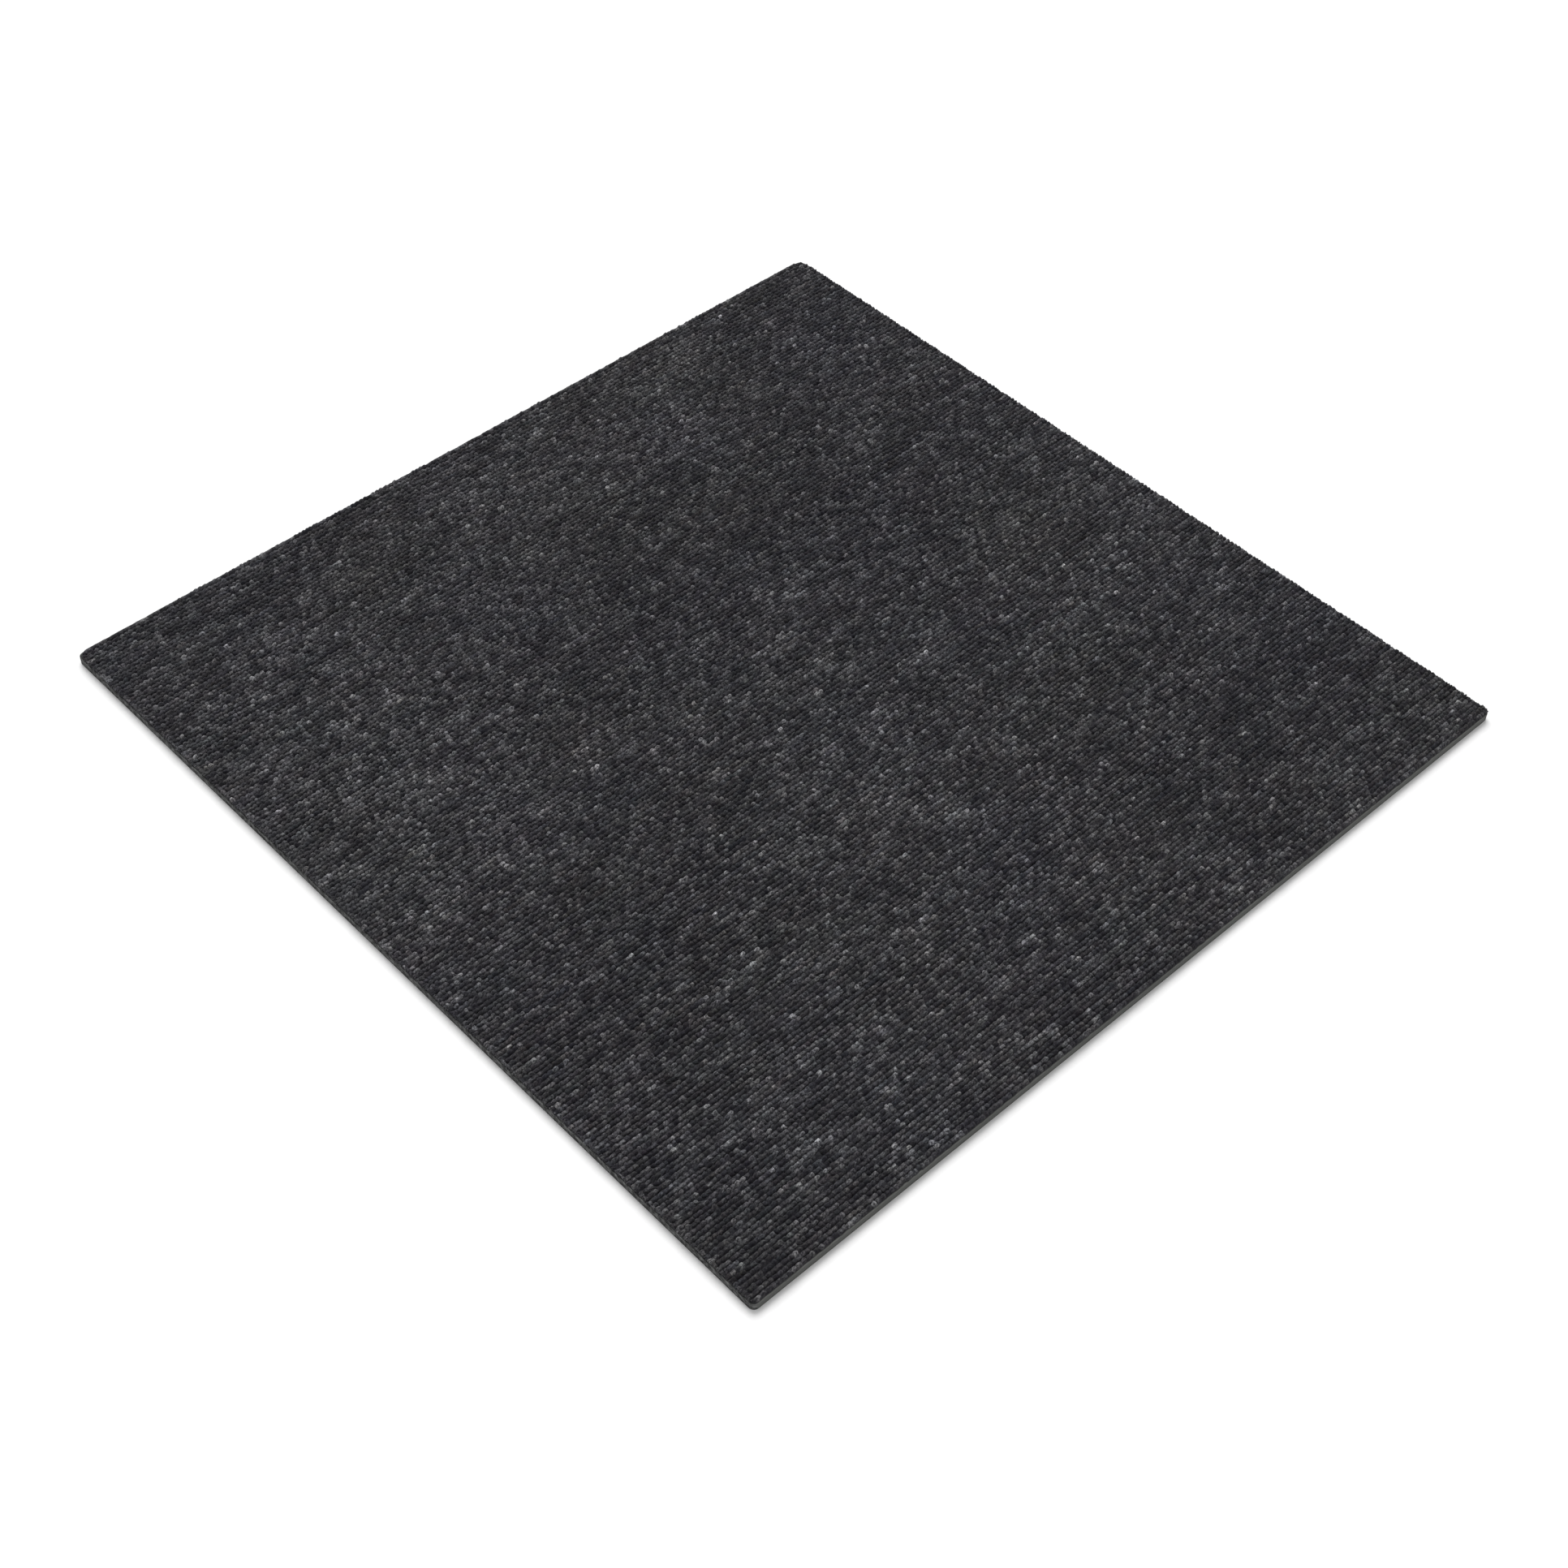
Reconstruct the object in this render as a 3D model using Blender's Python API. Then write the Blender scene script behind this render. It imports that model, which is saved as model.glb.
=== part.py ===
"""A square loop-pile carpet tile: a heavy backing slab with a tufted pile bonded on top of it.

The tuft rows run along X. The origin is the middle of the underside, and Z points up.
"""

import math

import bmesh
import bpy

# Outline of the tile, in metres
TILE_LENGTH = 0.500
TILE_WIDTH = 0.500
CORNER_RADIUS = 0.003

# Layers, from the floor up
BACKING_THICKNESS = 0.0042
BOND_THICKNESS = 0.0003
PILE_BED = 0.0005
ROW_CROWN = 0.0012

# Tufting: the spacing of the needles, and how far the sheared pile stands inside the backing's edge
TUFT_GAUGE = 0.00254
PILE_SETBACK = 0.0004

# Fineness of the round stretches
ROW_SEGMENTS = 4
CORNER_SEGMENTS = 5

# The pile is cut out of a longer and wider blank, by a trimming shape taller than the pile
BLANK_OVERHANG = 0.005
BLANK_EXTRA_ROWS = 1
TRIM_OVERSHOOT = 0.002

PILE_COLOUR = (0.050, 0.050, 0.053, 1.0)
BACKING_COLOUR = (0.110, 0.112, 0.106, 1.0)
PILE_ROUGHNESS = 0.95
BACKING_ROUGHNESS = 0.85


def clear_scene():
    """Remove whatever the scene holds."""
    for thing in list(bpy.data.objects):
        bpy.data.objects.remove(thing, do_unlink=True)


def make_material(name, colour, roughness):
    """A plain Principled material of one colour."""
    material = bpy.data.materials.new(name)
    material.use_nodes = True
    shader = material.node_tree.nodes["Principled BSDF"]
    shader.inputs["Base Color"].default_value = colour
    shader.inputs["Roughness"].default_value = roughness
    shader.inputs["Metallic"].default_value = 0.0
    material.diffuse_color = colour
    return material


def rounded_outline(inset):
    """Points round the tile's outline, anticlockwise, drawn in by the given distance."""
    radius = CORNER_RADIUS - inset
    centre_x = TILE_LENGTH / 2 - CORNER_RADIUS
    centre_y = TILE_WIDTH / 2 - CORNER_RADIUS
    points = []
    for quarter, (side_x, side_y) in enumerate(((1, 1), (-1, 1), (-1, -1), (1, -1))):
        for step in range(CORNER_SEGMENTS + 1):
            angle = (quarter + step / CORNER_SEGMENTS) * math.pi / 2
            x = side_x * centre_x + radius * math.cos(angle)
            y = side_y * centre_y + radius * math.sin(angle)
            points.append((x, y))
    return points


def row_profile(bottom):
    """The pile's section across its rows: a flat bed with a half-round crown for every tuft row."""
    rows = round(TILE_WIDTH / TUFT_GAUGE)
    pitch = TILE_WIDTH / rows
    first_row = -BLANK_EXTRA_ROWS
    last_row = rows + BLANK_EXTRA_ROWS
    groove = bottom + PILE_BED
    points = [(first_row * pitch - TILE_WIDTH / 2, bottom)]
    for row in range(first_row, last_row):
        for step in range(ROW_SEGMENTS):
            angle = math.pi * step / ROW_SEGMENTS
            across = (row + (1 - math.cos(angle)) / 2) * pitch - TILE_WIDTH / 2
            points.append((across, groove + ROW_CROWN * math.sin(angle)))
    far_side = last_row * pitch - TILE_WIDTH / 2
    points.append((far_side, groove))
    points.append((far_side, bottom))
    return points


def extrude_outline(name, corners, travel, material):
    """A closed solid: the flat outline through the corners, pushed along the travel vector."""
    shape = bmesh.new()
    outline = shape.faces.new([shape.verts.new(corner) for corner in corners])
    pushed = bmesh.ops.extrude_face_region(shape, geom=[outline], use_keep_orig=True)
    moved = [part for part in pushed["geom"] if isinstance(part, bmesh.types.BMVert)]
    bmesh.ops.translate(shape, verts=moved, vec=travel)
    bmesh.ops.recalc_face_normals(shape, faces=shape.faces)
    mesh = bpy.data.meshes.new(name)
    shape.to_mesh(mesh)
    shape.free()
    mesh.materials.append(material)
    solid = bpy.data.objects.new(name, mesh)
    bpy.context.scene.collection.objects.link(solid)
    return solid


def make_slab(name, inset, bottom, thickness, material):
    """A slab on the tile's outline."""
    corners = [(x, y, bottom) for x, y in rounded_outline(inset)]
    return extrude_outline(name, corners, (0, 0, thickness), material)


def trim(blank, cutter):
    """Keep only what of the blank lies inside the cutter, and hide the cutter."""
    cut = blank.modifiers.new("Trim to outline", "BOOLEAN")
    cut.operation = "INTERSECT"
    cut.object = cutter
    cutter.hide_render = True
    cutter.display_type = "WIRE"


def make_backing(material):
    """The heavy backing slab, flat on the floor."""
    return make_slab("backing", 0, 0, BACKING_THICKNESS, material)


def make_loop_pile(material):
    """The tufted pile: rows of loops along X, sheared to the tile's outline."""
    bottom = BACKING_THICKNESS + BOND_THICKNESS
    start = -TILE_LENGTH / 2 - BLANK_OVERHANG
    corners = [(start, across, height) for across, height in row_profile(bottom)]
    length = TILE_LENGTH + 2 * BLANK_OVERHANG
    pile = extrude_outline("loop_pile", corners, (length, 0, 0), material)
    cutter = make_slab(
        "pile_trim",
        PILE_SETBACK,
        bottom - TRIM_OVERSHOOT,
        PILE_BED + ROW_CROWN + 2 * TRIM_OVERSHOOT,
        material,
    )
    trim(pile, cutter)
    return pile


def main():
    """Build the tile's two layers."""
    clear_scene()
    make_backing(make_material("backing", BACKING_COLOUR, BACKING_ROUGHNESS))
    make_loop_pile(make_material("pile_yarn", PILE_COLOUR, PILE_ROUGHNESS))


main()
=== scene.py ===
"""The looks of a square loop-pile carpet tile: its loops, cut edges and backing, and a pale stage.

The tile lies flat, with its tuft rows along X and its underside on the floor.
"""

import math

import bpy
import numpy as np
from mathutils import Matrix, Vector


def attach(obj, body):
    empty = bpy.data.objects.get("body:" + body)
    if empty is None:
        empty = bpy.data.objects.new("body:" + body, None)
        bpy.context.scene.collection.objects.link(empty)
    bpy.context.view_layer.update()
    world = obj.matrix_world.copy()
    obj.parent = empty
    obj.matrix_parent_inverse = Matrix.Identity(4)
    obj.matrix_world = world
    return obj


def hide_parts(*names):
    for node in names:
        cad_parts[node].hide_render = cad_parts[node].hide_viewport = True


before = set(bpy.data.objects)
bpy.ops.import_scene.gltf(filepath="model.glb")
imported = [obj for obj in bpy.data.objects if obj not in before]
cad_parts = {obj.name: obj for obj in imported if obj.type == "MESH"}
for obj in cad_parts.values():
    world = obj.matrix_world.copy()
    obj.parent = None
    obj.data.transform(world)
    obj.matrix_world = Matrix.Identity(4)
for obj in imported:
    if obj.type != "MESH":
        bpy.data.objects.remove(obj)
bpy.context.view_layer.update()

bl_info = {
    "name": "Loop-pile carpet tile",
    "version": (1, 0, 0),
    "blender": (4, 5, 0),
    "location": "3D View > Sidebar > Carpet tile",
    "description": "Dresses a plain carpet tile with its loops, its cut edges and its backing",
    "category": "Object",
}


def node_box(name):
    """Lowest and highest corner of one of the frame's nodes."""
    corners = [Vector(corner) for corner in bpy.data.objects[name].bound_box]
    low = Vector(map(min, *corners))
    high = Vector(map(max, *corners))
    return low, high


PILE_LOW, PILE_HIGH = node_box("loop_pile")
_, SLAB_HIGH = node_box("backing")

# The grid of a single loop, and the bands that the pile is divided into
SPANS_ALONG = 3
SPANS_ACROSS = 4
BANDS = 6
SPARE_LOOPS = 3

# Places this close, in metres or in shares of a loop, are the same
WELD = 1e-5
ON_LINE = 0.02

# The least distance that is divided by, in metres
EPSILON = 1e-6

# The shape of a loop, in shares of the row's pitch, the loop's length and the groove's depth
CREST_HALF = 0.13
BODY_HALF = 0.3
SHOULDER_HEIGHT = 0.74
SHOULDER_DIP = 0.55
SHOULDER_SWELL = 1.16
SHOULDER_PINCH = 0.80
BODY_STRETCH = 1.16

# Random fields, each as its weight and how many rows and loops it reaches over
LIFT_FIELDS = ((0.8, 0, 0.0), (0.6, 2.0, 4.0))
LEAN_FIELDS = ((0.8, 0, 0.0), (0.8, 1.0, 9.0))
SHIFT_FIELDS = ((0.13, 0, 0.0), (0.45, 0, 4.0))
WIDTH_FIELD = (0.10, 0, 0.0)
END_FIELD = (0.16, 0.8, 0.0)
TUFT_FIELD = (1.0, 0.7, 0.0)
SINGLE_FIELD = (0.88, 0, 0.0)
STREAK_FIELD = (0.34, 0, 0.9)
PATCH_FIELD = (0.20, 1.4, 2.0)
MOTTLE_FIELDS = ((0.100, 14.0, 18.0), (0.050, 3.0, 4.0))
HOLLOW_FIELD = (1.0, 1.1, 1.6)
FLECK_FIELD = (1.0, 0, 0.8)
WARM_FIELDS = ((0.024, 0, 0.8), (0.010, 3.0, 4.0))
COOL_FIELDS = ((0.027, 0, 0.8), (0.017, 7.0, 9.0))

# Rare dark hollows and light flecks: where in the spread they begin, and how strong they are
HOLLOW_FROM = 1.7
HOLLOW_STRENGTH = 0.44
FLECK_FROM = 2.3
FLECK_STRENGTH = 0.28

# The light end of the heather is held back a little, and part of the tint is as strong in dark yarn
LIGHT_HOLD = 0.08
EVEN_TINT = 0.7

# How far a groove follows the loops beside it
GROOVE_LEAN = 0.6
GROOVE_LIFT = 0.4

# The last row is fuller on its outer side
LAST_ROW = 0.4
OUTER_GROOVE_RISE = 0.55
OUTER_LOOP_RISE = 0.18

# The cut ends of the rows: how far in they are crushed, and how high their yarn stands up
END_CRUSH = 0.0010
END_RISE = 0.50
END_LOOP_SHARE = 0.25
TUFT_RISE = 0.0006
TUFT_FROM = 1.5
TUFT_MOST = 1.2

# Painted shade on the sides of a loop: beyond this share of the pitch, they are this much darker
SIDE_FROM = 0.25
SIDE_SHADE = 0.80

# The pile's corners. The far and the left one are worn rounder
CORNER_RADIUS = 0.0026
FAR_CORNER_RADIUS = 0.0080
LEFT_CORNER_RADIUS = 0.0054

# The pile's foot stands this far above the backing
SEAT = 0.00005

# The map for the export: two strips for the pile's halves, and a thin one for the underside
MAP_SIDE = 0.02
MAP_WIDTH = 0.96
MAP_FOOT = 0.03
MAP_STRIP = 0.44
MAP_STEP = 0.48
MAP_UNDER_FOOT = 0.975
MAP_UNDER_STRIP = 0.02
MAP_WALL_SPREAD = 4
WALL_TILT = 0.05
UNDER_TILT = -0.5

# Faces that meet at less than these angles, in degrees, are shaded as one
LOOP_SMOOTHING = 75
PLY_SMOOTHING = 50

# The level of the gloss of every material
SPECULAR = 0.3

# Yarn: its grain in features a metre, how strong it is, and the painted shade that darkens the yarn
# the lower it lies, in the grooves and down the pile's walls
FIBRE_SCALE = (900, 3200, 2400)
PLY_SCALE = (950, 1450, 1200)
FIBRE_CONTRAST = 0.6
PLY_CONTRAST = 4.6
DARKEST_PLY = 0.25
FIBRE_RELIEF = 0.5
PLY_RELIEF = 0.8
GROOVE_SHADE = 0.40
PILE_SHADE_LOW = PILE_HIGH.z - 0.0021
PILE_SHADE_HIGH = PILE_HIGH.z - 0.0003

# A faint violet cast that is as strong in dark yarn as in light yarn
YARN_CAST = (0.0007, 0.0, 0.0033)

# Cut plies: the part inside the pile, their shape, and how loosely they lie
PLY_DRAW = 1000
PLY_ROOT = 0.0009
PLY_SIDES = 6
PLY_SPLAY = (1, 1.15, 1.05)
PLY_DOME_WIDTH = 0.22
PLY_DOME_HEIGHT = 0.16
PLY_SPREAD = 0.8
PLY_STRAY = 0.07
PLY_END_STRAY = 0.00010
PLY_DEPTHS = (0.00055, 0.00170)
PLY_YAW = 0.35
PLY_DROOP = (-0.35, 0.30)
PLY_SIZES = (0.80, 1.15)

# Backing: its grain in features a metre, and the painted shade at the foot and the painted
# highlight along the top line of its sides
GRAIN_SCALE = (2600, 2600, 900)
SMEAR_SCALE = (160, 160, 700)
CRUMB_SCALE = (360, 360, 420)
FLEECE_SCALE = (900, 900, 900)
SIDE_LEVEL = 0.55
GRAIN_CONTRAST = 0.45
SMEAR_CONTRAST = 0.45
FLEECE_LEVEL = 0.5
GRAIN_RELIEF = 0.5
FLEECE_RELIEF = 0.5
CRUMB_CONTRAST = 7.5
DARKEST_CRUMB = 0.35
END_FACE_DEPTH = 0.0022
FOOT_SHADE = 0.72
FOOT_SHADE_HEIGHT = 0.0012
TOP_LINE = 0.0006
TOP_LINE_PAINTED_HIGHLIGHT = 0.15
UNDERSIDE_HEIGHT = 0.00005

# Stage
FLOOR_SIZE = 40
FLOOR_DROP = 0.00005
LAMP_SPREAD = 40
LAMP_FROM = (0.39, 0.64, 1.0)

# The camera looks at this point from this side, this high and this far away, and is turned a little
CAMERA_TARGET = (-0.05150, -0.03962, 0.0)
CAMERA_AZIMUTH = -44.050
CAMERA_ELEVATION = 47.794
CAMERA_DISTANCE = 1.19635
CAMERA_ROLL = 1.638
CAMERA_SHIFT = 0.01553
SENSOR_WIDTH = 36


class PileSettings(bpy.types.PropertyGroup):
    """Sizes and colours of the tufted pile."""

    rows: bpy.props.IntProperty(
        name="Tuft rows",
        description="Rows across the whole tile",
        default=197,
        min=10,
    )
    loops: bpy.props.IntProperty(
        name="Loops a row",
        description="Loops along one row, over the whole tile",
        default=190,
        min=10,
    )
    groove_depth: bpy.props.FloatProperty(
        name="Groove depth",
        description="From the crown of a loop down to the groove between two rows",
        default=0.0016,
        unit="LENGTH",
    )
    pinch: bpy.props.FloatProperty(
        name="Pinch",
        description="How far the yarn dips between two loops, as a share of the groove's depth",
        default=0.55,
        subtype="FACTOR",
    )
    unevenness: bpy.props.FloatProperty(
        name="Unevenness",
        description="How much one loop stands higher or lower than the next",
        default=0.00012,
        unit="LENGTH",
    )
    sway: bpy.props.FloatProperty(
        name="Sway",
        description="How far a loop leans to the side",
        default=0.00024,
        unit="LENGTH",
    )
    contrast: bpy.props.FloatProperty(
        name="Heather contrast",
        description="Spread of light and dark between single loops",
        default=0.66,
    )
    fleck_contrast: bpy.props.FloatProperty(
        name="Fleck contrast",
        description="Spread of light and dark within one loop",
        default=0.15,
    )
    yarn: bpy.props.FloatVectorProperty(
        name="Yarn",
        description="Middle colour of the yarn",
        default=(0.0367, 0.0365, 0.0375),
        subtype="COLOR",
        size=3,
    )
    seed: bpy.props.IntProperty(
        name="Seed",
        description="Draws another tile of the same kind",
        default=7,
    )


class EdgeSettings(bpy.types.PropertyGroup):
    """Sizes of the cut yarn ends along the two sides that cut through the rows."""

    thickness: bpy.props.FloatProperty(
        name="Ply thickness",
        description="Width of one cut ply of yarn",
        default=0.0009,
        unit="LENGTH",
    )
    reach: bpy.props.FloatProperty(
        name="Reach",
        description="How far a cut ply stands out of the pile's side",
        default=0.0006,
        unit="LENGTH",
    )
    plies: bpy.props.IntProperty(
        name="Plies",
        description="Cut plies at each end of a row",
        default=3,
    )


class BackingSettings(bpy.types.PropertyGroup):
    """Colours of the backing slab."""

    cut_face: bpy.props.FloatVectorProperty(
        name="Cut face",
        description="Colour of the backing where the knife went along the rows",
        default=(0.092, 0.094, 0.089),
        subtype="COLOR",
        size=3,
    )
    smeared_face: bpy.props.FloatVectorProperty(
        name="Smeared face",
        description="Colour of the backing where the knife went across the rows",
        default=(0.062, 0.063, 0.062),
        subtype="COLOR",
        size=3,
    )
    underside: bpy.props.FloatVectorProperty(
        name="Underside",
        description="Colour of the matt underside",
        default=(0.032, 0.032, 0.034),
        subtype="COLOR",
        size=3,
    )


class StageSettings(bpy.types.PropertyGroup):
    """Floor, light and camera."""

    floor: bpy.props.FloatVectorProperty(
        name="Floor",
        description="Colour of the floor",
        default=(0.90, 0.90, 0.90),
        subtype="COLOR",
        size=3,
    )
    sky: bpy.props.FloatProperty(
        name="Sky",
        description="Brightness of the even light from all round",
        default=0.62,
    )
    lamp: bpy.props.FloatProperty(
        name="Lamp",
        description="Strength of the wide soft lamp behind the tile",
        default=2.41,
    )
    lens: bpy.props.FloatProperty(
        name="Lens",
        description="Focal length",
        default=56.757,
        unit="CAMERA",
    )


class Wire:
    """An output of a shader node. Arithmetic on it adds Math nodes to its finish."""

    def __init__(self, finish, socket):
        self.finish = finish
        self.socket = socket

    def join(self, operation, *values):
        """The result of one Math node on these values."""
        return self.finish.add("ShaderNodeMath", {"operation": operation}, dict(enumerate(values)))

    def __add__(self, other):
        return self.join("ADD", self, other)

    __radd__ = __add__

    def __sub__(self, other):
        return self.join("SUBTRACT", self, other)

    def __rsub__(self, other):
        return self.join("SUBTRACT", other, self)

    def __mul__(self, other):
        return self.join("MULTIPLY", self, other)

    __rmul__ = __mul__

    def __truediv__(self, other):
        return self.join("DIVIDE", self, other)

    def __gt__(self, other):
        return self.join("GREATER_THAN", self, other)

    def absolute(self):
        """The value without its sign."""
        return self.join("ABSOLUTE", self)

    def at_least(self, lowest):
        """The value, but never under the lowest."""
        return self.join("MAXIMUM", self, lowest)

    def clamped(self):
        """The value held between 0 and 1."""
        return self.finish.add("ShaderNodeClamp", {}, {0: self})


class Finish:
    """One material, built round its Principled shader."""

    def __init__(self, name, roughness, sheen=0.0, sheen_roughness=0.5):
        self.material = bpy.data.materials.new(name)
        self.material.use_nodes = True
        self.nodes = self.material.node_tree.nodes
        self.links = self.material.node_tree.links
        self.shader = self.nodes["Principled BSDF"]
        self.shader.inputs["Roughness"].default_value = roughness
        self.shader.inputs["Specular IOR Level"].default_value = SPECULAR
        self.shader.inputs["Sheen Weight"].default_value = sheen
        self.shader.inputs["Sheen Roughness"].default_value = sheen_roughness

    def feed(self, socket, value):
        """Give a socket a constant or a link."""
        if isinstance(value, Wire):
            self.links.new(value.socket, socket)
        else:
            socket.default_value = value

    def add(self, kind, settings, sockets, output=0):
        """Add a node: its settings first, then its sockets. Returns one of its outputs."""
        node = self.nodes.new(kind)
        for key, value in settings.items():
            setattr(node, key, value)
        for key, value in sockets.items():
            self.feed(node.inputs[key], value)
        return Wire(self, node.outputs[output])

    def place(self, scale):
        """The piece's own coordinates in metres, times a scale for each axis."""
        at = self.add("ShaderNodeTexCoord", {}, {}, "Object")
        return self.add("ShaderNodeMapping", {}, {"Vector": at, "Scale": scale})

    def axes(self):
        """The piece's own X, Y and Z, in metres."""
        at = self.add("ShaderNodeTexCoord", {}, {}, "Object")
        split = self.nodes.new("ShaderNodeSeparateXYZ")
        self.feed(split.inputs[0], at)
        return [Wire(self, output) for output in split.outputs]

    def noise(self, scale, detail=2.0, roughness=0.5):
        """Cloudy noise with its middle at 0.5. The scale is in features a metre, for each axis."""
        sockets = {"Vector": self.place(scale), "Scale": 1.0}
        sockets |= {"Detail": detail, "Roughness": roughness}
        return self.add("ShaderNodeTexNoise", {}, sockets)

    def blend(self, amount, low, high):
        """Mix two colours."""
        sockets = {0: amount, 6: self.colour(low), 7: self.colour(high)}
        return self.add("ShaderNodeMix", {"data_type": "RGBA"}, sockets, 2)

    def scaled(self, colour, amount):
        """A colour times a value."""
        sockets = {0: colour, "Scale": amount}
        return self.add("ShaderNodeVectorMath", {"operation": "SCALE"}, sockets)

    def colour(self, value):
        """A colour with its alpha, or the wire as it is."""
        if isinstance(value, Wire):
            return value
        return (*value, 1.0)

    def relief(self, height, distance, strength=1.0):
        """Feed the shader's normal from a height."""
        sockets = {"Height": height, "Distance": distance, "Strength": strength}
        self.feed(self.shader.inputs["Normal"], self.add("ShaderNodeBump", {}, sockets))

    def feed_shader(self, name, value):
        """Link one of the shader's inputs."""
        self.feed(self.shader.inputs[name], value)


def only(*things):
    """Select these objects and no other, the first one active."""
    bpy.ops.object.select_all(action="DESELECT")
    for thing in things:
        thing.select_set(True)
    bpy.context.view_layer.objects.active = things[0]


def pick(thing, test):
    """Select the vertices whose places pass the test, and go into edit mode."""
    mesh = thing.data
    mesh.polygons.foreach_set("select", [False] * len(mesh.polygons))
    mesh.edges.foreach_set("select", [False] * len(mesh.edges))
    mesh.vertices.foreach_set("select", [bool(test(vertex.co)) for vertex in mesh.vertices])
    bpy.ops.object.mode_set(mode="EDIT")
    bpy.ops.mesh.select_mode(type="VERT")


def leave_edit():
    """Go back to object mode."""
    bpy.ops.object.mode_set(mode="OBJECT")


def places(mesh):
    """The vertices' places as an array."""
    found = np.empty(len(mesh.vertices) * 3)
    mesh.vertices.foreach_get("co", found)
    return found.reshape(-1, 3)


def softened(rng, shape, reach_rows, reach_loops):
    """Random numbers, one for each loop, smooth over so many rows and loops, with a spread of 1."""
    field = rng.normal(size=shape)
    across = np.fft.fftfreq(shape[0])[:, None] * reach_rows
    along = np.fft.rfftfreq(shape[1])[None, :] * reach_loops
    damping = np.exp(-2 * math.pi**2 * (across**2 + along**2))
    field = np.fft.irfft2(np.fft.rfft2(field) * damping, s=shape)
    return (field - field.mean()) / field.std()


def drawn(rng, shape, *fields):
    """The sum of random fields, each times its weight."""
    return sum(weight * softened(rng, shape, rows, loops) for weight, rows, loops in fields)


class Weave:
    """Where each loop of the pile stands, and its colour. Everything is drawn from one seed."""

    def __init__(self, settings):
        self.rows = settings.rows
        self.loops = settings.loops
        self.pitch = (PILE_HIGH.y - PILE_LOW.y) / self.rows
        self.stitch = (PILE_HIGH.x - PILE_LOW.x) / self.loops
        self.columns = self.loops + 2 * SPARE_LOOPS
        self.start = PILE_LOW.x - SPARE_LOOPS * self.stitch
        self.depth = settings.groove_depth
        self.crown = PILE_HIGH.z
        rng = np.random.default_rng(settings.seed)
        shape = (self.rows, self.columns)
        self.lift = settings.unevenness * drawn(rng, shape, *LIFT_FIELDS)
        self.lean = settings.sway * drawn(rng, shape, *LEAN_FIELDS)
        row_start = rng.uniform(-0.5, 0.5, (self.rows, 1))
        self.shift = self.stitch * (row_start + drawn(rng, shape, *SHIFT_FIELDS))
        self.width = 1 + drawn(rng, shape, WIDTH_FIELD)
        self.end_rise = self.depth * (END_RISE + drawn(rng, shape, END_FIELD)[:, :2])
        tall = drawn(rng, shape, TUFT_FIELD)[:, 2:4]
        self.end_rise += TUFT_RISE * np.clip(tall - TUFT_FROM, 0, TUFT_MOST)
        self.colours = self.draw_colours(rng, shape, settings)

    def draw_colours(self, rng, shape, settings):
        """The colour of every loop: single loops, streaks, patches and a slow mottling."""
        heather = drawn(rng, shape, SINGLE_FIELD, STREAK_FIELD, PATCH_FIELD)
        brightness = settings.contrast * heather + drawn(rng, shape, *MOTTLE_FIELDS)
        brightness -= LIGHT_HOLD * brightness**2
        hollows = drawn(rng, shape, HOLLOW_FIELD)
        brightness -= HOLLOW_STRENGTH * np.clip(hollows - HOLLOW_FROM, 0, 1)
        flecks = drawn(rng, shape, FLECK_FIELD)
        brightness += FLECK_STRENGTH * np.clip(flecks - FLECK_FROM, 0, 1)
        warm = drawn(rng, shape, *WARM_FIELDS)
        cool = drawn(rng, shape, *COOL_FIELDS)
        level = np.exp(brightness)[..., None]
        tint = np.stack([warm, np.zeros(shape), cool], -1)
        yarn = np.array(settings.yarn)
        return yarn * level * (1 + tint / 2) + yarn * tint * EVEN_TINT


def model_loop(weave):
    """The flat grid of one loop, at the bottom of its groove and at the start of the first row."""
    groove = weave.crown - weave.depth
    middle = (weave.start + weave.stitch / 2, PILE_LOW.y + weave.pitch / 2, groove)
    bpy.ops.mesh.primitive_grid_add(
        x_subdivisions=SPANS_ALONG,
        y_subdivisions=SPANS_ACROSS,
        size=1,
        location=middle,
    )
    loop = bpy.context.object
    loop.scale = (weave.stitch, weave.pitch, 1)
    bpy.ops.object.transform_apply(location=True, rotation=False, scale=True)
    return loop, middle


def lift(loop, test, height):
    """Raise the vertices that pass the test."""
    pick(loop, test)
    bpy.ops.transform.translate(value=(0, 0, height))
    leave_edit()


def stretch(loop, test, factors, middle):
    """Resize the vertices that pass the test, away from the middle."""
    pick(loop, test)
    bpy.ops.transform.resize(value=factors, center_override=middle)
    leave_edit()


def shape_loop(weave, pinch):
    """Shape the grid into a bead that dips and narrows where it meets its neighbours."""
    loop, middle = model_loop(weave)
    crest_half = weave.pitch * CREST_HALF
    body_half = weave.stitch * BODY_HALF

    def crest(place):
        return abs(place.y - middle[1]) < crest_half

    def shoulder(place):
        return crest_half < abs(place.y - middle[1]) < 3 * crest_half

    def body(place):
        return abs(place.x - middle[0]) < body_half

    def shoulder_of_body(place):
        return shoulder(place) and body(place)

    def shoulder_of_dip(place):
        return shoulder(place) and not body(place)

    dip = weave.depth * (1 - pinch)
    lift(loop, lambda place: crest(place) and body(place), weave.depth)
    lift(loop, lambda place: crest(place) and not body(place), dip)
    lift(loop, shoulder_of_body, weave.depth * SHOULDER_HEIGHT)
    lift(loop, shoulder_of_dip, dip * SHOULDER_DIP)
    stretch(loop, shoulder_of_body, (1, SHOULDER_SWELL, 1), middle)
    stretch(loop, shoulder_of_dip, (1, SHOULDER_PINCH, 1), middle)
    stretch(loop, body, (BODY_STRETCH, 1, 1), middle)
    return loop


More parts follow.
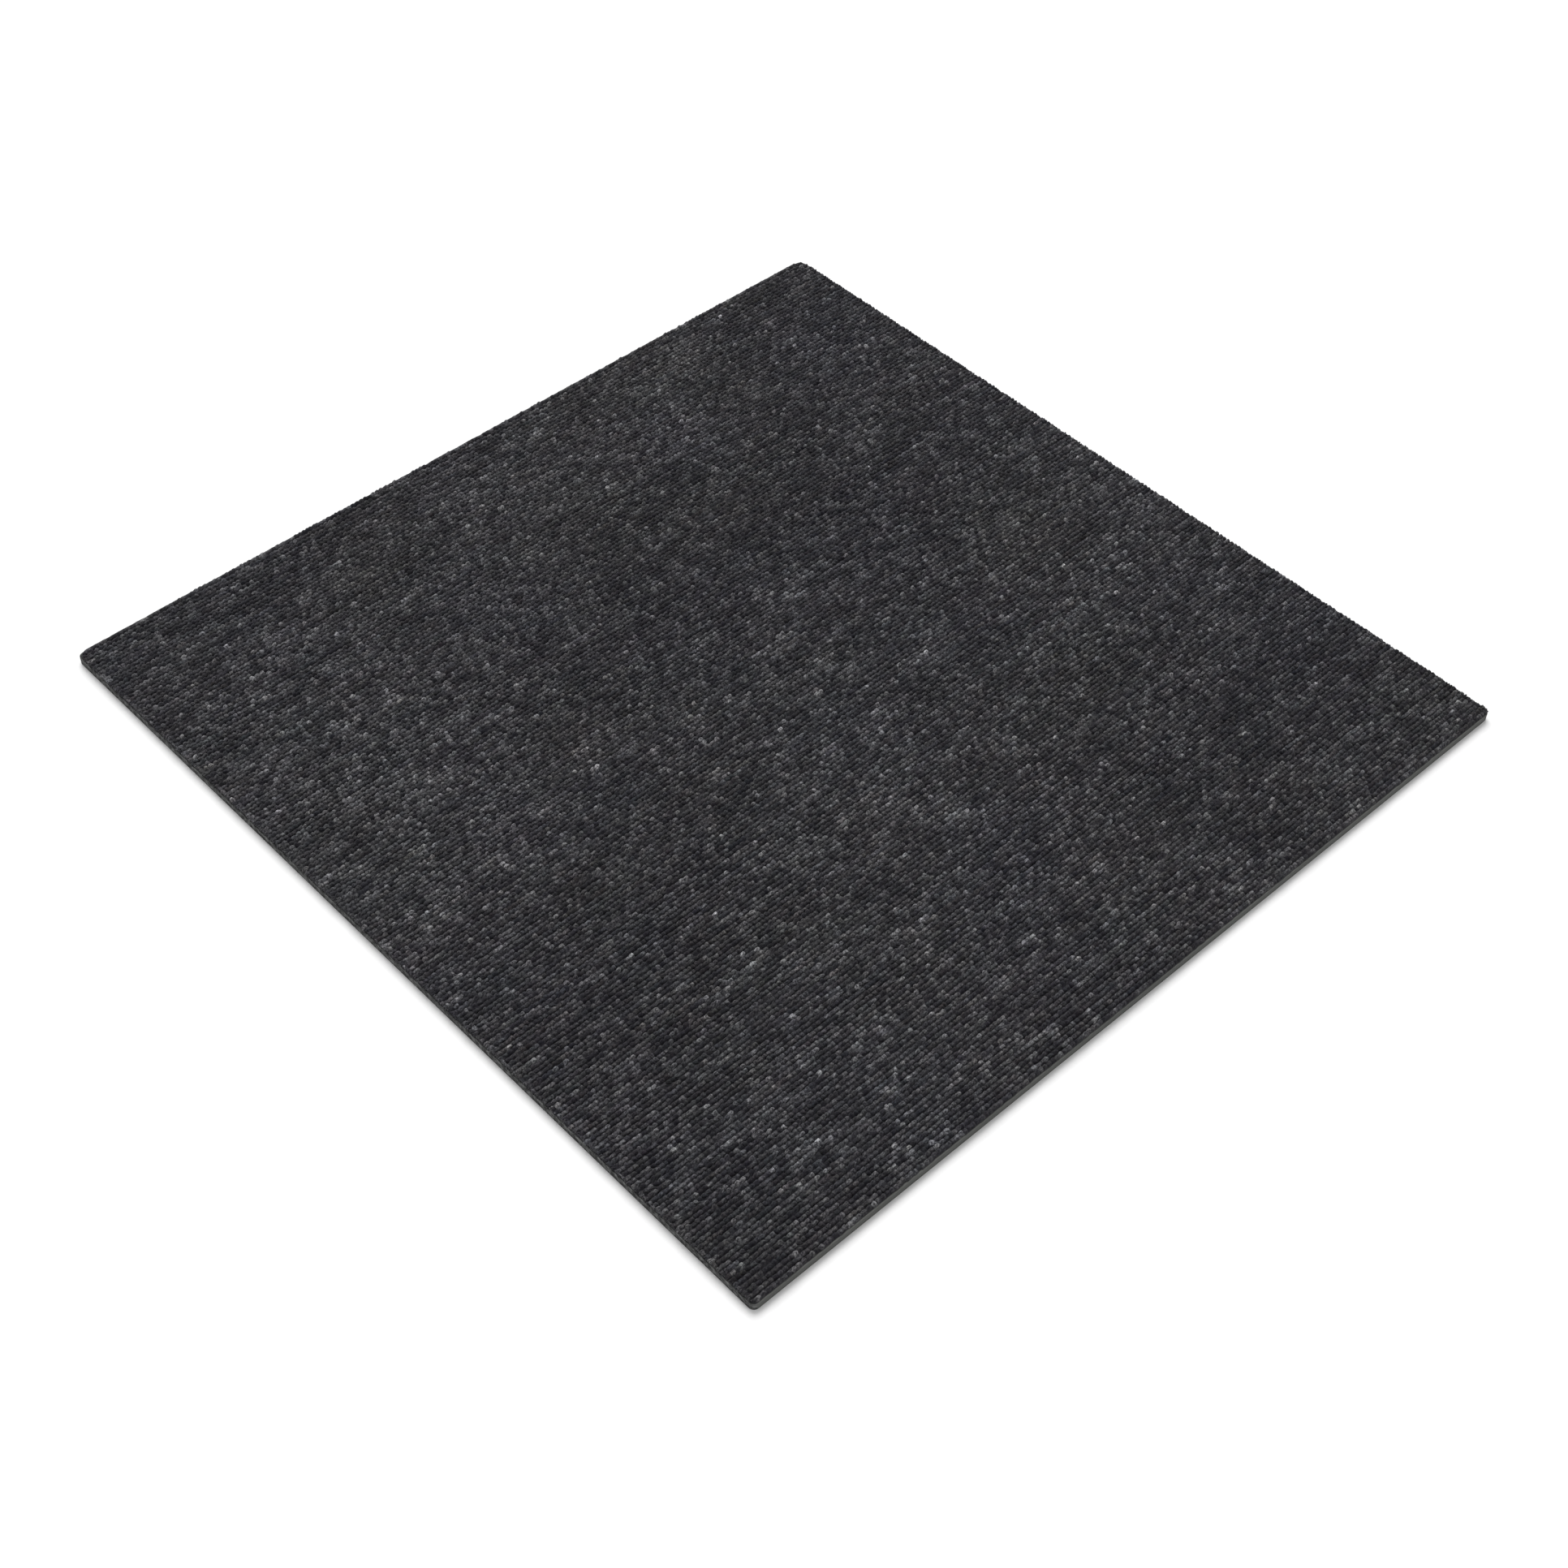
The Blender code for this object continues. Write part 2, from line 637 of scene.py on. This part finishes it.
def repeat(thing, count, offset):
    """Copy the shape so many times along a line, and weld it where the copies meet."""
    only(thing)
    array = thing.modifiers.new("Repeat", "ARRAY")
    array.count = count
    array.use_relative_offset = False
    array.use_constant_offset = True
    array.constant_offset_displace = offset
    array.use_merge_vertices = True
    array.merge_threshold = WELD
    bpy.ops.object.modifier_apply(modifier=array.name)


def loosen(band, weave):
    """Move the loops of a band out of their perfect order."""
    mesh = band.data
    at = places(mesh)
    row_at = (at[:, 1] - PILE_LOW.y) / weave.pitch
    loop_at = (at[:, 0] - weave.start) / weave.stitch
    groove = abs(row_at - np.round(row_at)) < ON_LINE
    seam = abs(loop_at - np.round(loop_at)) < ON_LINE
    row = np.where(groove, np.round(row_at), np.floor(row_at)).astype(int)
    loop = np.where(seam, np.round(loop_at), np.floor(loop_at)).astype(int)

    def mean_of(field):
        """The loop's own number, or the mean of its neighbours' in a groove or a seam."""
        total = np.zeros(len(at))
        for row_step in (0, 1):
            for loop_step in (0, 1):
                use_row = np.where(groove, row - row_step, row).clip(0, weave.rows - 1)
                use_loop = np.where(seam, loop - loop_step, loop).clip(0, weave.columns - 1)
                total += field[use_row, use_loop]
        return total / 4

    across = row_at - (row + 0.5)
    at[:, 0] += mean_of(weave.shift)
    at[:, 1] += np.where(groove, GROOVE_LEAN, 1) * mean_of(weave.lean)
    at[:, 1] += np.where(groove, 0, across * weave.pitch * (mean_of(weave.width) - 1))
    at[:, 2] += np.where(groove, GROOVE_LIFT, 1) * mean_of(weave.lift)
    outer = row_at > weave.rows - LAST_ROW
    fuller = np.where(groove, OUTER_GROOVE_RISE, OUTER_LOOP_RISE) * weave.depth
    at[:, 2] += np.where(outer, fuller, 0)
    for side, end in enumerate((PILE_LOW.x, PILE_HIGH.x)):
        near = np.exp(-(((at[:, 0] - end) / END_CRUSH) ** 2))
        rise = weave.end_rise[row.clip(0, weave.rows - 1), side]
        loop_rise = END_LOOP_SHARE * (rise - weave.depth / 2)
        at[:, 2] += near * np.where(groove, rise, loop_rise)
    mesh.vertices.foreach_set("co", at.ravel())
    mesh.update()


def colour_band(band, weave, settings, number):
    """Give each face the colour of its loop, a little lighter or darker than the next face, with
    painted shade on the loop's sides.
    """
    middles = face_middles(band.data)
    row = ((middles[:, 1] - PILE_LOW.y) / weave.pitch).astype(int)
    loop = ((middles[:, 0] - weave.start) / weave.stitch).astype(int)
    rng = np.random.default_rng([settings.seed, number])
    speckle = np.exp(settings.fleck_contrast * rng.normal(size=len(row)))
    # Painted shade: faces off the crest, on the loop's sides, are darkened
    painted_shade_side = abs((middles[:, 1] - PILE_LOW.y) / weave.pitch - row - 0.5) > SIDE_FROM
    speckle *= np.where(painted_shade_side, SIDE_SHADE, 1.0)
    colours = weave.colours[row, loop] * speckle[:, None]
    paint(band.data, colours)


def paint(mesh, colours):
    """Keep a colour for each face in the mesh's own attribute."""
    layer = mesh.attributes.new("yarn", "FLOAT_COLOR", "FACE")
    rgba = np.ones((len(colours), 4))
    rgba[:, :3] = colours
    layer.data.foreach_set("color", rgba.ravel())


def face_middles(mesh):
    """The middle of every face."""
    found = np.empty(len(mesh.polygons) * 3)
    mesh.polygons.foreach_get("center", found)
    return found.reshape(-1, 3)


def cut_ends(band):
    """Cut the rows off at the pile's two ends, as the knife does."""
    only(band)
    for side in (PILE_LOW.x, PILE_HIGH.x):
        bpy.ops.object.mode_set(mode="EDIT")
        bpy.ops.mesh.select_all(action="SELECT")
        bpy.ops.mesh.bisect(
            plane_co=(side, 0, 0),
            plane_no=(math.copysign(1, side), 0, 0),
            clear_outer=True,
        )
        leave_edit()


def close_band(band):
    """Carry the band's rim down onto the backing, and close it there."""
    only(band)
    bpy.ops.object.mode_set(mode="EDIT")
    bpy.ops.mesh.select_mode(type="EDGE")
    bpy.ops.mesh.select_all(action="DESELECT")
    bpy.ops.mesh.select_non_manifold(extend=False)
    bpy.ops.mesh.extrude_edges_move(TRANSFORM_OT_translate={"value": (0, 0, -PILE_LOW.z / 4)})
    bpy.ops.transform.resize(value=(1, 1, 0), center_override=(0, 0, SLAB_HIGH.z + SEAT))
    bpy.ops.mesh.edge_face_add()
    bpy.ops.mesh.select_all(action="SELECT")
    bpy.ops.mesh.normals_make_consistent(inside=False)
    leave_edit()


def corner_radius(x, y):
    """The rounding of the corner that each place is nearest to."""
    far = np.where(x > 0, FAR_CORNER_RADIUS, LEFT_CORNER_RADIUS)
    return np.where(y > 0, far, CORNER_RADIUS)


def corner_inset(x, y):
    """How far the outline's end stands inside the pile's length, at each place across the tile."""
    radius = corner_radius(x, y)
    into = np.maximum(abs(y) - PILE_HIGH.y + radius, 0)
    return radius - np.sqrt(np.maximum(radius**2 - into**2, 0))


def trim_outline(band):
    """Draw the band's rim in to the pile's outline, with its rounded corners."""
    mesh = band.data
    at = places(mesh)
    at[:, 1] = at[:, 1].clip(PILE_LOW.y, PILE_HIGH.y)
    inner = np.array([PILE_HIGH.x, PILE_HIGH.y]) - corner_radius(at[:, 0], at[:, 1])[:, None]
    beyond = abs(at[:, :2]) - inner
    corner = (beyond > 0).all(1)
    reach = beyond[corner]
    squeeze = reach.max(1) / np.maximum(np.hypot(reach[:, 0], reach[:, 1]), EPSILON)
    moved = inner[corner] + reach * squeeze[:, None]
    at[corner, :2] = np.sign(at[corner, :2]) * moved
    mesh.vertices.foreach_set("co", at.ravel())
    mesh.update()


def lay_map(band, weave):
    """A flat map of the band for the export, its two halves one over the other."""
    mesh = band.data
    corners = np.empty(len(mesh.loops), int)
    mesh.loops.foreach_get("vertex_index", corners)
    at = places(mesh)[corners]
    face_of = np.repeat(np.arange(len(mesh.polygons)), face_sizes(mesh))
    middle = face_middles(mesh)[face_of]
    normals = face_normals(mesh)[face_of]
    length = PILE_HIGH.x - PILE_LOW.x
    low = at[:, 1].min()
    width = at[:, 1].max() - low
    across = (at[:, 1] - low) / width
    first_half = middle[:, 0] < 0
    wall = abs(normals[:, 2]) < WALL_TILT
    under = normals[:, 2] < UNDER_TILT
    drop = np.where(wall, (weave.crown - at[:, 2]) / 2, 0)
    u = (at[:, 0] - np.where(first_half, PILE_LOW.x, 0)) / length * 2
    u = MAP_SIDE + MAP_WIDTH * (u + np.sign(normals[:, 0]) * drop * MAP_WALL_SPREAD)
    v = MAP_FOOT + MAP_STRIP * (across + np.sign(normals[:, 1]) * drop / width)
    v += np.where(first_half, 0, MAP_STEP)
    u = np.where(under, MAP_SIDE + MAP_WIDTH * (at[:, 0] - PILE_LOW.x) / length, u)
    v = np.where(under, MAP_UNDER_FOOT + MAP_UNDER_STRIP * across, v)
    layer = mesh.uv_layers.new(name="OFBake")
    layer.uv.foreach_set("vector", np.stack([u, v], 1).ravel())


def face_sizes(mesh):
    """The number of corners of every face."""
    found = np.empty(len(mesh.polygons), int)
    mesh.polygons.foreach_get("loop_total", found)
    return found


def face_normals(mesh):
    """The way every face looks."""
    found = np.empty(len(mesh.polygons) * 3)
    mesh.polygons.foreach_get("normal", found)
    return found.reshape(-1, 3)


def yarn_finish(name, attribute):
    """Matt synthetic yarn: fibres along the loops, twisted plies, a colour for each loop, and
    painted shade that darkens it the lower it lies.
    """
    finish = Finish(name, roughness=0.92, sheen=0.10, sheen_roughness=0.45)
    settings = {"attribute_type": "GEOMETRY", "attribute_name": attribute}
    loop_colour = finish.add("ShaderNodeAttribute", settings, {}, "Color")
    fibres = finish.noise(FIBRE_SCALE, detail=3.0, roughness=0.6)
    plies = finish.noise(PLY_SCALE, detail=1.0)
    blotches = 1 + PLY_CONTRAST * (plies - 0.5) + FIBRE_CONTRAST * (fibres - 0.5)
    level = blotches.at_least(DARKEST_PLY)
    # Painted shade: the colour darkens from the crowns down into the grooves and the pile's walls
    _, _, height = finish.axes()
    rise = ((height - PILE_SHADE_LOW) / (PILE_SHADE_HIGH - PILE_SHADE_LOW)).clamped()
    colour = finish.scaled(loop_colour, level * (GROOVE_SHADE + (1 - GROOVE_SHADE) * rise))
    colour = finish.add("ShaderNodeVectorMath", {"operation": "ADD"}, {0: colour, 1: YARN_CAST})
    finish.feed_shader("Base Color", colour)
    height = fibres * FIBRE_RELIEF + plies * PLY_RELIEF
    finish.relief(height, distance=0.00035, strength=0.7)
    return finish.material


class CARPET_OT_loop_rows(bpy.types.Operator):
    """Build the rows of loops in bands, in place of the plain pile"""

    bl_idname = "carpet.loop_rows"
    bl_label = "Rows of loops"

    def execute(self, context):
        """Model one loop, copy it along and across, loosen it, trim it and colour it."""
        settings = context.scene.carpet_pile
        weave = Weave(settings)
        material = yarn_finish("pile_yarn_loops", "yarn")
        edges = np.linspace(0, weave.rows, BANDS + 1).round().astype(int)
        for number in range(BANDS):
            first, last = edges[number], edges[number + 1]
            band = shape_loop(weave, settings.pinch)
            band.name = f"pile_band_{number + 1}"
            band.data.name = band.name
            repeat(band, weave.columns, (weave.stitch, 0, 0))
            repeat(band, int(last - first), (0, weave.pitch, 0))
            band.data.transform(Matrix.Translation((0, first * weave.pitch, 0)))
            colour_band(band, weave, settings, number)
            loosen(band, weave)
            cut_ends(band)
            trim_outline(band)
            close_band(band)
            lay_map(band, weave)
            only(band)
            bpy.ops.object.shade_smooth_by_angle(angle=math.radians(LOOP_SMOOTHING))
            band.data.materials.append(material)
            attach(band, "root")
            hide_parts("loop_pile")
        return {"FINISHED"}


def shape_ply(settings):
    """One cut ply of yarn: a short strand along X, a little splayed and domed at its cut end."""
    length = PLY_ROOT + settings.reach
    bpy.ops.object.select_all(action="DESELECT")
    bpy.ops.mesh.primitive_cylinder_add(
        vertices=PLY_SIDES,
        radius=settings.thickness / 2,
        depth=length,
        location=(0, 0, 0),
        rotation=(0, math.pi / 2, 0),
    )
    ply = bpy.context.object
    bpy.ops.object.transform_apply(location=False, rotation=True, scale=False)
    pick(ply, lambda place: place.x > 0)
    bpy.ops.transform.resize(value=PLY_SPLAY, center_override=(length / 2, 0, 0))
    bpy.ops.mesh.inset(
        thickness=settings.thickness * PLY_DOME_WIDTH,
        depth=settings.thickness * PLY_DOME_HEIGHT,
    )
    leave_edit()
    return ply


def scatter(model, spots, turns, sizes, name):
    """Join placed, turned and sized copies of the model into one mesh, and remove the model."""
    base = places(model.data)
    faces = [tuple(polygon.vertices) for polygon in model.data.polygons]
    points = []
    copied = []
    for number, (spot, turn, size) in enumerate(zip(spots, turns, sizes)):
        points.append(spot + size * base @ turn.T)
        first = number * len(base)
        copied += [tuple(first + index for index in face) for face in faces]
    mesh = bpy.data.meshes.new(name)
    mesh.from_pydata(np.concatenate(points).tolist(), [], copied)
    joined = bpy.data.objects.new(name, mesh)
    bpy.context.scene.collection.objects.link(joined)
    bpy.data.objects.remove(model)
    return joined, len(faces)


def turned(yaw, pitch):
    """The turn of a strand along X: yawed about Z, after its tip is tilted up by the pitch."""
    return np.array(Matrix.Rotation(yaw, 3, "Z") @ Matrix.Rotation(-pitch, 3, "Y"))


class CARPET_OT_cut_plies(bpy.types.Operator):
    """Add the cut ends of the yarn along the two sides that cut through the rows"""

    bl_idname = "carpet.cut_plies"
    bl_label = "Cut yarn ends"

    def execute(self, context):
        """Model one ply, and set copies of it at both ends of every row."""
        settings = context.scene.carpet_edge
        weave = Weave(context.scene.carpet_pile)
        material = yarn_finish("pile_yarn_plies", "yarn")
        rng = np.random.default_rng([context.scene.carpet_pile.seed, PLY_DRAW])
        row = np.repeat(np.arange(weave.rows), settings.plies)
        ply = np.tile(np.arange(settings.plies), weave.rows)
        beside = ((ply + 0.5) / settings.plies - 0.5) * PLY_SPREAD
        beside += rng.normal(0, PLY_STRAY, len(row))
        for name, end, facing, column in (
            ("cut_plies_start", PILE_LOW.x, math.pi, SPARE_LOOPS),
            ("cut_plies_end", PILE_HIGH.x, 0, -SPARE_LOOPS - 1),
        ):
            y = PILE_LOW.y + (row + 0.5 + beside) * weave.pitch
            inset = corner_inset(np.full(len(row), end), y)
            inward = math.copysign(1, -end) * (PLY_ROOT / 2 + inset)
            x = end + inward + rng.normal(0, PLY_END_STRAY, len(row))
            kept = inset < CORNER_RADIUS / 2
            z = weave.crown - rng.uniform(*PLY_DEPTHS, len(row))
            yaw = facing + rng.normal(0, PLY_YAW, len(row))
            pitch = rng.normal(*PLY_DROOP, len(row))
            turns = [turned(*angles) for angles in zip(yaw[kept], pitch[kept])]
            spots = np.stack([x, y, z], 1)[kept]
            sizes = rng.uniform(*PLY_SIZES, len(row))[kept]
            plies, faces = scatter(shape_ply(settings), spots, turns, sizes, name)
            colours = np.repeat(weave.colours[row[kept], column], faces, axis=0)
            paint(plies.data, colours)
            only(plies)
            bpy.ops.object.shade_smooth_by_angle(angle=math.radians(PLY_SMOOTHING))
            plies.data.materials.append(material)
            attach(plies, "root")
        return {"FINISHED"}


class CARPET_OT_backing(bpy.types.Operator):
    """Finish the backing slab: its cut sides and its matt underside"""

    bl_idname = "carpet.backing"
    bl_label = "Backing"

    def execute(self, context):
        """Give the slab its material."""
        settings = context.scene.carpet_backing
        finish = Finish("backing_compound", roughness=0.88)
        x, _, z = finish.axes()
        grain = finish.noise(GRAIN_SCALE, detail=3.0, roughness=0.65)
        smear = finish.noise(SMEAR_SCALE, detail=2.0)
        at_row_ends = x.absolute() > SLAB_HIGH.x - END_FACE_DEPTH
        side = finish.blend(at_row_ends, settings.cut_face, settings.smeared_face)
        side = finish.scaled(side, SIDE_LEVEL + GRAIN_CONTRAST * grain + SMEAR_CONTRAST * smear)
        crumbs = finish.noise(CRUMB_SCALE, detail=2.0, roughness=0.6)
        speckle = 1 + at_row_ends * CRUMB_CONTRAST * (crumbs - 0.5)
        side = finish.scaled(side, speckle.at_least(DARKEST_CRUMB))
        # Painted shade darkens the foot of the sides near the floor, and a painted highlight
        # lightens a thin line along the top of the cut faces
        foot = (z / FOOT_SHADE_HEIGHT).clamped()
        painted_highlight_line = (z > SLAB_HIGH.z - TOP_LINE) * (1 - at_row_ends)
        light = FOOT_SHADE + (1 - FOOT_SHADE) * foot + TOP_LINE_PAINTED_HIGHLIGHT * painted_highlight_line
        side = finish.scaled(side, light)
        fleece = finish.noise(FLEECE_SCALE, detail=4.0, roughness=0.7)
        below = finish.scaled(tuple(settings.underside), FLEECE_LEVEL + fleece)
        finish.feed_shader("Base Color", finish.blend(z > UNDERSIDE_HEIGHT, below, side))
        height = grain * GRAIN_RELIEF + fleece * FLEECE_RELIEF
        finish.relief(height, distance=0.0002, strength=0.6)
        slab = bpy.data.objects["backing"]
        for slot in slab.material_slots:
            slot.material = finish.material
        return {"FINISHED"}


class CARPET_OT_stage(bpy.types.Operator):
    """Lay the floor, light it softly and set the camera"""

    bl_idname = "carpet.stage"
    bl_label = "Stage"

    def execute(self, context):
        """Build the floor, the lamp, the sky and the camera."""
        settings = context.scene.carpet_stage
        bpy.ops.object.select_all(action="DESELECT")
        bpy.ops.mesh.primitive_plane_add(size=FLOOR_SIZE, location=(0, 0, -FLOOR_DROP))
        floor = bpy.context.object
        floor.name = "floor"
        bpy.ops.object.transform_apply(location=True, rotation=False, scale=False)
        paper = Finish("floor_paper", roughness=0.9)
        paper.shader.inputs["Base Color"].default_value = (*settings.floor, 1)
        floor.data.materials.append(paper.material)

        lamp = bpy.data.lights.new("wide_lamp", "SUN")
        lamp.energy = settings.lamp
        lamp.angle = math.radians(LAMP_SPREAD)
        lamp_object = bpy.data.objects.new("wide_lamp", lamp)
        bpy.context.scene.collection.objects.link(lamp_object)
        lamp_object.rotation_mode = "QUATERNION"
        lamp_object.rotation_quaternion = Vector(LAMP_FROM).to_track_quat("Z", "Y")

        world = bpy.data.worlds.new("even_sky")
        world.use_nodes = True
        background = world.node_tree.nodes["Background"]
        background.inputs["Color"].default_value = (1, 1, 1, 1)
        background.inputs["Strength"].default_value = settings.sky
        context.scene.world = world
        context.scene.view_settings.view_transform = "Standard"
        set_camera(context, settings.lens)
        return {"FINISHED"}


def set_camera(context, lens):
    """Put the camera where the photograph was taken from."""
    azimuth = math.radians(CAMERA_AZIMUTH)
    elevation = math.radians(CAMERA_ELEVATION)
    flat = math.cos(elevation)
    back = Vector((math.sin(azimuth) * flat, -math.cos(azimuth) * flat, math.sin(elevation)))
    level = Vector((0, 0, 1)).cross(back).normalized()
    turn = Matrix.Rotation(math.radians(CAMERA_ROLL), 3, back)
    right = turn @ level
    up = back.cross(right)
    axes = Matrix((right, up, back)).transposed()
    data = bpy.data.cameras.new("camera")
    data.sensor_width = SENSOR_WIDTH
    data.lens = lens
    data.shift_x = CAMERA_SHIFT
    camera = bpy.data.objects.new("camera", data)
    place = Vector(CAMERA_TARGET) + back * CAMERA_DISTANCE
    camera.matrix_world = Matrix.Translation(place) @ axes.to_4x4()
    context.scene.collection.objects.link(camera)
    context.scene.camera = camera


class CARPET_PT_tile(bpy.types.Panel):
    """The tile's pieces and settings in the sidebar"""

    bl_idname = "CARPET_PT_tile"
    bl_label = "Carpet tile"
    bl_space_type = "VIEW_3D"
    bl_region_type = "UI"
    bl_category = "Carpet tile"

    def draw(self, context):
        """List each step with its settings."""
        for operator, group in STEPS:
            box = self.layout.box()
            box.operator(operator)
            settings = getattr(context.scene, group)
            for name in settings.bl_rna.properties.keys():
                if name not in ("rna_type", "name"):
                    box.prop(settings, name)


STEPS = (
    ("carpet.loop_rows", "carpet_pile"),
    ("carpet.cut_plies", "carpet_edge"),
    ("carpet.backing", "carpet_backing"),
    ("carpet.stage", "carpet_stage"),
)
GROUPS = {
    "carpet_pile": PileSettings,
    "carpet_edge": EdgeSettings,
    "carpet_backing": BackingSettings,
    "carpet_stage": StageSettings,
}
CLASSES = (
    PileSettings,
    EdgeSettings,
    BackingSettings,
    StageSettings,
    CARPET_OT_loop_rows,
    CARPET_OT_cut_plies,
    CARPET_OT_backing,
    CARPET_OT_stage,
    CARPET_PT_tile,
)


def register():
    """Register the classes and give the scene its settings."""
    for entry in CLASSES:
        bpy.utils.register_class(entry)
    for name, group in GROUPS.items():
        setattr(bpy.types.Scene, name, bpy.props.PointerProperty(type=group))


def unregister():
    """Take the settings and the classes away again."""
    for name in GROUPS:
        delattr(bpy.types.Scene, name)
    for entry in reversed(CLASSES):
        bpy.utils.unregister_class(entry)


def main():
    """Build everything in order."""
    register()
    bpy.ops.carpet.loop_rows()
    bpy.ops.carpet.cut_plies()
    bpy.ops.carpet.backing()
    bpy.ops.carpet.stage()


if __name__ == "__main__":
    main()
